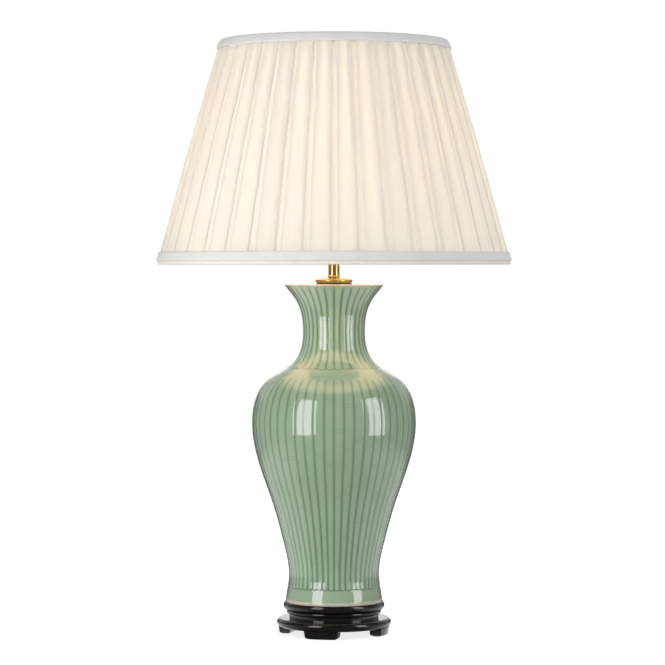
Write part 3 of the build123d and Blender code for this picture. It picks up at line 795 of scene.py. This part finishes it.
# ---- The two trims, and the binding of the bottom ring ----
# Pale tape cut on the bias, folded over the sewn edges of cover and lining and stitched down. Before
# that, a narrow strip was wound round the bottom ring, for the stitches to hold in.
trim_low_box, trim_high_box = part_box("bottom_trim"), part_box("top_trim")
trim_threads = ((0.71, 0.70, 0.68, 1), (0.765, 0.755, 0.735, 1))
trim_thread_pitch = 0.0007
binding_threads = ((0.80, 0.745, 0.66, 1), (0.86, 0.81, 0.725, 1))
binding_thread_pitch = 0.0006
tape_bulge = 0.0009
tape_columns = 240
tape_rows = 28
ring_wire = 0.002              # the wire's radius
binding_thickness = 0.00035
binding_rows = 12


def tape(name, line, node, cloth):
    """A band of tape swept round the shade along its folded line, as (radius, height) from edge to edge."""
    line = smooth_through(line, tape_rows)
    width = float(np.hypot(*np.diff(line, axis=0).T).sum())
    length = float(2 * math.pi * line[:, 0].mean())
    places = (np.linspace(0, length, tape_columns + 1), np.linspace(0, width, tape_rows))
    mesh = skin(name, turned_rings(line, tape_columns), flat=places)
    piece = new_piece(name, mesh, cloth, "shade", [node])


trim_cloth = woven("trim tape", trim_threads, trim_thread_pitch, bump=0.8)
low_z, high_z = trim_low_box[0].z, trim_low_box[1].z
bottom_ring_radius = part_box("frame_bottom_ring")[1].x - ring_wire
outer_low = trim_low_box[1].x
outer_high = outer_low + lining_slope * (high_z - low_z)
tape("bottom_tape", [
    (outer_high - 0.0016, high_z - 0.0002), (outer_high - 0.0004, high_z + 0.0001),
    ((outer_low + outer_high) / 2 + tape_bulge, (low_z + high_z) / 2), (outer_low - 0.0002, low_z + 0.0006),
    (outer_low - 0.0016, low_z - 0.0003), (outer_low - 0.004, low_z + 0.0001)],
    "bottom_trim", trim_cloth)

top_low_z, top_high_z = trim_high_box[0].z, trim_high_box[1].z
top_outer_low = trim_high_box[1].x
top_outer_high = top_outer_low + lining_slope * (top_high_z - top_low_z)
top_ring_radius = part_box("frame_top_ring")[1].x - ring_wire
tape("top_tape", [
    (top_ring_radius - ring_wire - 0.0035, top_high_z - 0.0125),
    (top_ring_radius - ring_wire - 0.0012, top_high_z - 0.004),
    (top_ring_radius - 0.0005, top_high_z + 0.0001), (top_outer_high - 0.0012, top_high_z - 0.0001),
    (top_outer_high + 0.0002, top_high_z - 0.0014),
    ((top_outer_low + top_outer_high) / 2 + tape_bulge, (top_low_z + top_high_z) / 2),
    (top_outer_low + 0.0001, top_low_z + 0.0004), (top_outer_low - 0.0012, top_low_z)],
    "top_trim", trim_cloth)

binding_reach = ring_wire + binding_thickness
bottom_ring_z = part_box("frame_bottom_ring")[0].z + ring_wire
binding_line = [
    (bottom_ring_radius + binding_reach * math.cos(angle), bottom_ring_z + binding_reach * math.sin(angle))
    for angle in np.linspace(0, 2 * math.pi, binding_rows + 1)]
binding_flat = (np.linspace(0, 2 * math.pi * bottom_ring_radius, tape_columns + 1),
                np.linspace(0, 2 * math.pi * ring_wire, binding_rows + 1))
binding_mesh = skin("ring_binding", turned_rings(binding_line, tape_columns), flat=binding_flat)
binding_cloth = woven("ring binding", binding_threads, binding_thread_pitch)
ring_binding = new_piece("ring_binding", binding_mesh, binding_cloth, "shade")


# ---- The table and the room ----
# A table with white paper on it. Polished surfaces see a white card straight behind, dark cloths beside
# it, pale walls at the sides, a dim room in front, and a pale ceiling over the card. Each has its
# brightness here, and its edges in degrees round from straight behind.
floor_size = 12.0
table_colour = (0.8, 0.8, 0.8, 1)
shadowed_table = (0.4, 0.4, 0.4, 1)
table_glow = (0.80, 1.0)       # what the camera sees of it by itself, close to the lamp and far off
table_glow_reach = (0.4, 1.6)
room_light = 0.40
dim_room = 0.15
dark_cloth = 0.07
pale_wall = 0.31
white_card = 1.0
pale_ceiling = 0.44
white_table = 0.80
table_reach = 0.85             # from the lamp, as far as it is seen in a polished surface
table_reach_fade = 0.2
card_edge = (11, 17)
wall_start, wall_end = (32, 50), (105, 135)
table_start, table_end = (32, 44), (112, 142)
ceiling_end = (40, 65)
wall_top = (0.05, 0.5)         # as the upward part of a direction of length 1
wall_top_share = 0.25          # of their brightness that card, walls and room keep high up
ceiling_start = (0.10, 0.22)


def rays_that_look(material):
    """1 for a ray from the camera or one that goes through glass, and 0 for the others."""
    path = add(material, "LightPath", {})
    return maths(material, "MAXIMUM", path.outputs["Is Camera Ray"], path.outputs["Is Transmission Ray"])


def fade_round(material, direction, start, end, edge):
    """Runs from start to end across an upright edge, by direction from the lamp."""
    across, back = add(material, "SeparateXYZ", {0: direction}).outputs[:2]
    from_behind = maths(material, "ARCTAN2", maths(material, "ABSOLUTE", across), back)
    return spread(material, from_behind, start, end, *[math.radians(angle) for angle in edge])


def mirrored_table(material, spot):
    """How much brighter the white table at the lamp's sides looks in a polished surface."""
    beside = maths(material, "MULTIPLY", fade_round(material, spot, 0, 1, table_start),
                   fade_round(material, spot, 1, 0, table_end))
    from_lamp = add(material, "VectorMath", {0: spot}, operation="LENGTH").outputs["Value"]
    near = spread(material, from_lamp, 1, 0, table_reach - table_reach_fade, table_reach + table_reach_fade)
    return maths(material, "MULTIPLY", maths(material, "MULTIPLY", beside, near), white_table - pale_wall)


def mirrored_room(material, direction):
    """How bright the surroundings look in a polished surface, by direction from the lamp."""
    up = add(material, "SeparateXYZ", {0: direction}).outputs["Z"]
    card = fade_round(material, direction, white_card - dark_cloth, 0, card_edge)
    wall = fade_round(material, direction, 0, pale_wall - dark_cloth, wall_start)
    room = fade_round(material, direction, 0, dim_room - pale_wall, wall_end)
    lit = maths(material, "ADD", maths(material, "ADD", card, wall), room)
    lit_low_down = maths(material, "MULTIPLY", lit, spread(material, up, 1, wall_top_share, *wall_top))
    above = maths(material, "MULTIPLY", spread(material, up, 0, pale_ceiling, *ceiling_start),
                  fade_round(material, direction, 1, 0, ceiling_end))
    return maths(material, "ADD", maths(material, "ADD", lit_low_down, above), dark_cloth)


floor_mesh = bpy.data.meshes.new("floor")
half = floor_size / 2
floor_mesh.from_pydata(
    [(-half, -half, 0), (half, -half, 0), (half, half, 0), (-half, half, 0)], [], [(0, 1, 2, 3)])
floor = bpy.data.objects.new("floor", floor_mesh)
bpy.context.scene.collection.objects.link(floor)
white_paper = bpy.data.materials.new("white paper")
white_paper.use_nodes = True
white_paper.node_tree.nodes.clear()
paper = add(white_paper, "BsdfDiffuse", {"Color": table_colour})
shadowed = add(white_paper, "BsdfDiffuse", {"Color": shadowed_table})
from_lamp = add(white_paper, "VectorMath", {0: place(white_paper)}, operation="LENGTH").outputs["Value"]
backlit = add(white_paper, "Emission",
              {"Strength": spread(white_paper, from_lamp, *table_glow, *table_glow_reach)})
bright = add(white_paper, "AddShader", {0: shadowed.outputs[0], 1: backlit.outputs[0]})
shown = add(white_paper, "MixShader",
            {0: rays_that_look(white_paper), 1: paper.outputs[0], 2: bright.outputs[0]})
in_a_polish = maths(white_paper, "ADD", mirrored_room(white_paper, place(white_paper)),
                    mirrored_table(white_paper, place(white_paper)))
mirrored = add(white_paper, "Emission", {"Strength": in_a_polish})
in_gloss = add(white_paper, "LightPath", {}).outputs["Is Glossy Ray"]
whole = add(white_paper, "MixShader", {0: in_gloss, 1: shown.outputs[0], 2: mirrored.outputs[0]})
add(white_paper, "OutputMaterial", {"Surface": whole.outputs[0]})
floor_mesh.materials.append(white_paper)

world = bpy.data.worlds.new("room")
bpy.context.scene.world = world
world.use_nodes = True
sky_direction = add(world, "TexCoord", {}).outputs["Generated"]
sky_path = add(world, "LightPath", {})
strength = spread(world, rays_that_look(world), room_light, 1, 0, 1)
unlike = maths(world, "SUBTRACT", mirrored_room(world, sky_direction), strength)
unlike = maths(world, "MULTIPLY", unlike, sky_path.outputs["Is Glossy Ray"])
join(world, maths(world, "ADD", strength, unlike), world.node_tree.nodes["Background"].inputs["Strength"])
world.node_tree.nodes["Background"].inputs["Color"].default_value = (1, 1, 1, 1)


# ---- The soft lamps ----
# A tall soft lamp stands at the left and at the right, each made twice: near and narrow for polished
# surfaces alone, and wider and farther off for the light on colours. One more stands behind. A disk is
# what the stem and the cap mirror of the lit inside of the shade.
left_side, right_side, rear_side = -39.5, 58.5, 175
gloss_distance, colour_distance = 0.84, 1.2
gloss_heights = (0.098, 0.87)
colour_heights = (0.01, 1.17)
right_colour_heights = (0.48, 1.22)
shade_glow_radius = 0.20
shade_glow_height = cover_low + 0.012
shade_glow_radiance = 0.80
shade_glow_colour = (1.0, 0.58, 0.26)


def seen_only_in(light, ray):
    """Leaves a light to polished surfaces, or to the others."""
    light.visible_camera = False
    light.visible_glossy = ray == "gloss"
    light.visible_diffuse = light.visible_transmission = ray == "colour"


def soft_lamp(name, side, distance, width, heights, radiance, colour, ray):
    """An upright soft lamp that faces the object, at a direction in degrees to the camera's right."""
    low, high = heights
    turn = math.radians(side)
    where = (distance * math.sin(turn), -distance * math.cos(turn), (low + high) / 2)
    lamp = new_light(name, "AREA", radiance * math.pi * width * (high - low), colour, where)
    lamp.rotation_euler = (math.pi / 2, 0, turn)
    lamp.data.shape = "RECTANGLE"
    lamp.data.size, lamp.data.size_y = width, high - low
    seen_only_in(lamp, ray)


soft_lamp("left soft lamp in gloss", left_side, gloss_distance, 0.375, gloss_heights, 3.8,
          (1.0, 0.91, 1.0), "gloss")
soft_lamp("left soft lamp on colour", left_side, colour_distance, 0.60, colour_heights, 4.15,
          (1.0, 1.0, 0.99), "colour")
soft_lamp("right soft lamp in gloss", right_side, gloss_distance, 0.335, gloss_heights, 3.5,
          (0.97, 0.92, 1.0), "gloss")
soft_lamp("right soft lamp on colour", right_side, colour_distance, 0.52, right_colour_heights, 4.5,
          (0.97, 0.99, 1.0), "colour")
soft_lamp("rear soft lamp on colour", rear_side, colour_distance, 0.80, colour_heights, 2.2,
          (1.0, 1.0, 1.0), "colour")

shade_glow_power = shade_glow_radiance * math.pi * math.pi * shade_glow_radius ** 2
shade_glow = new_light("lit inside of the shade in gloss", "AREA", shade_glow_power, shade_glow_colour,
                       (0, 0, shade_glow_height))
shade_glow.data.shape = "DISK"
shade_glow.data.size = 2 * shade_glow_radius
seen_only_in(shade_glow, "gloss")

bpy.context.scene.view_settings.view_transform = "Standard"
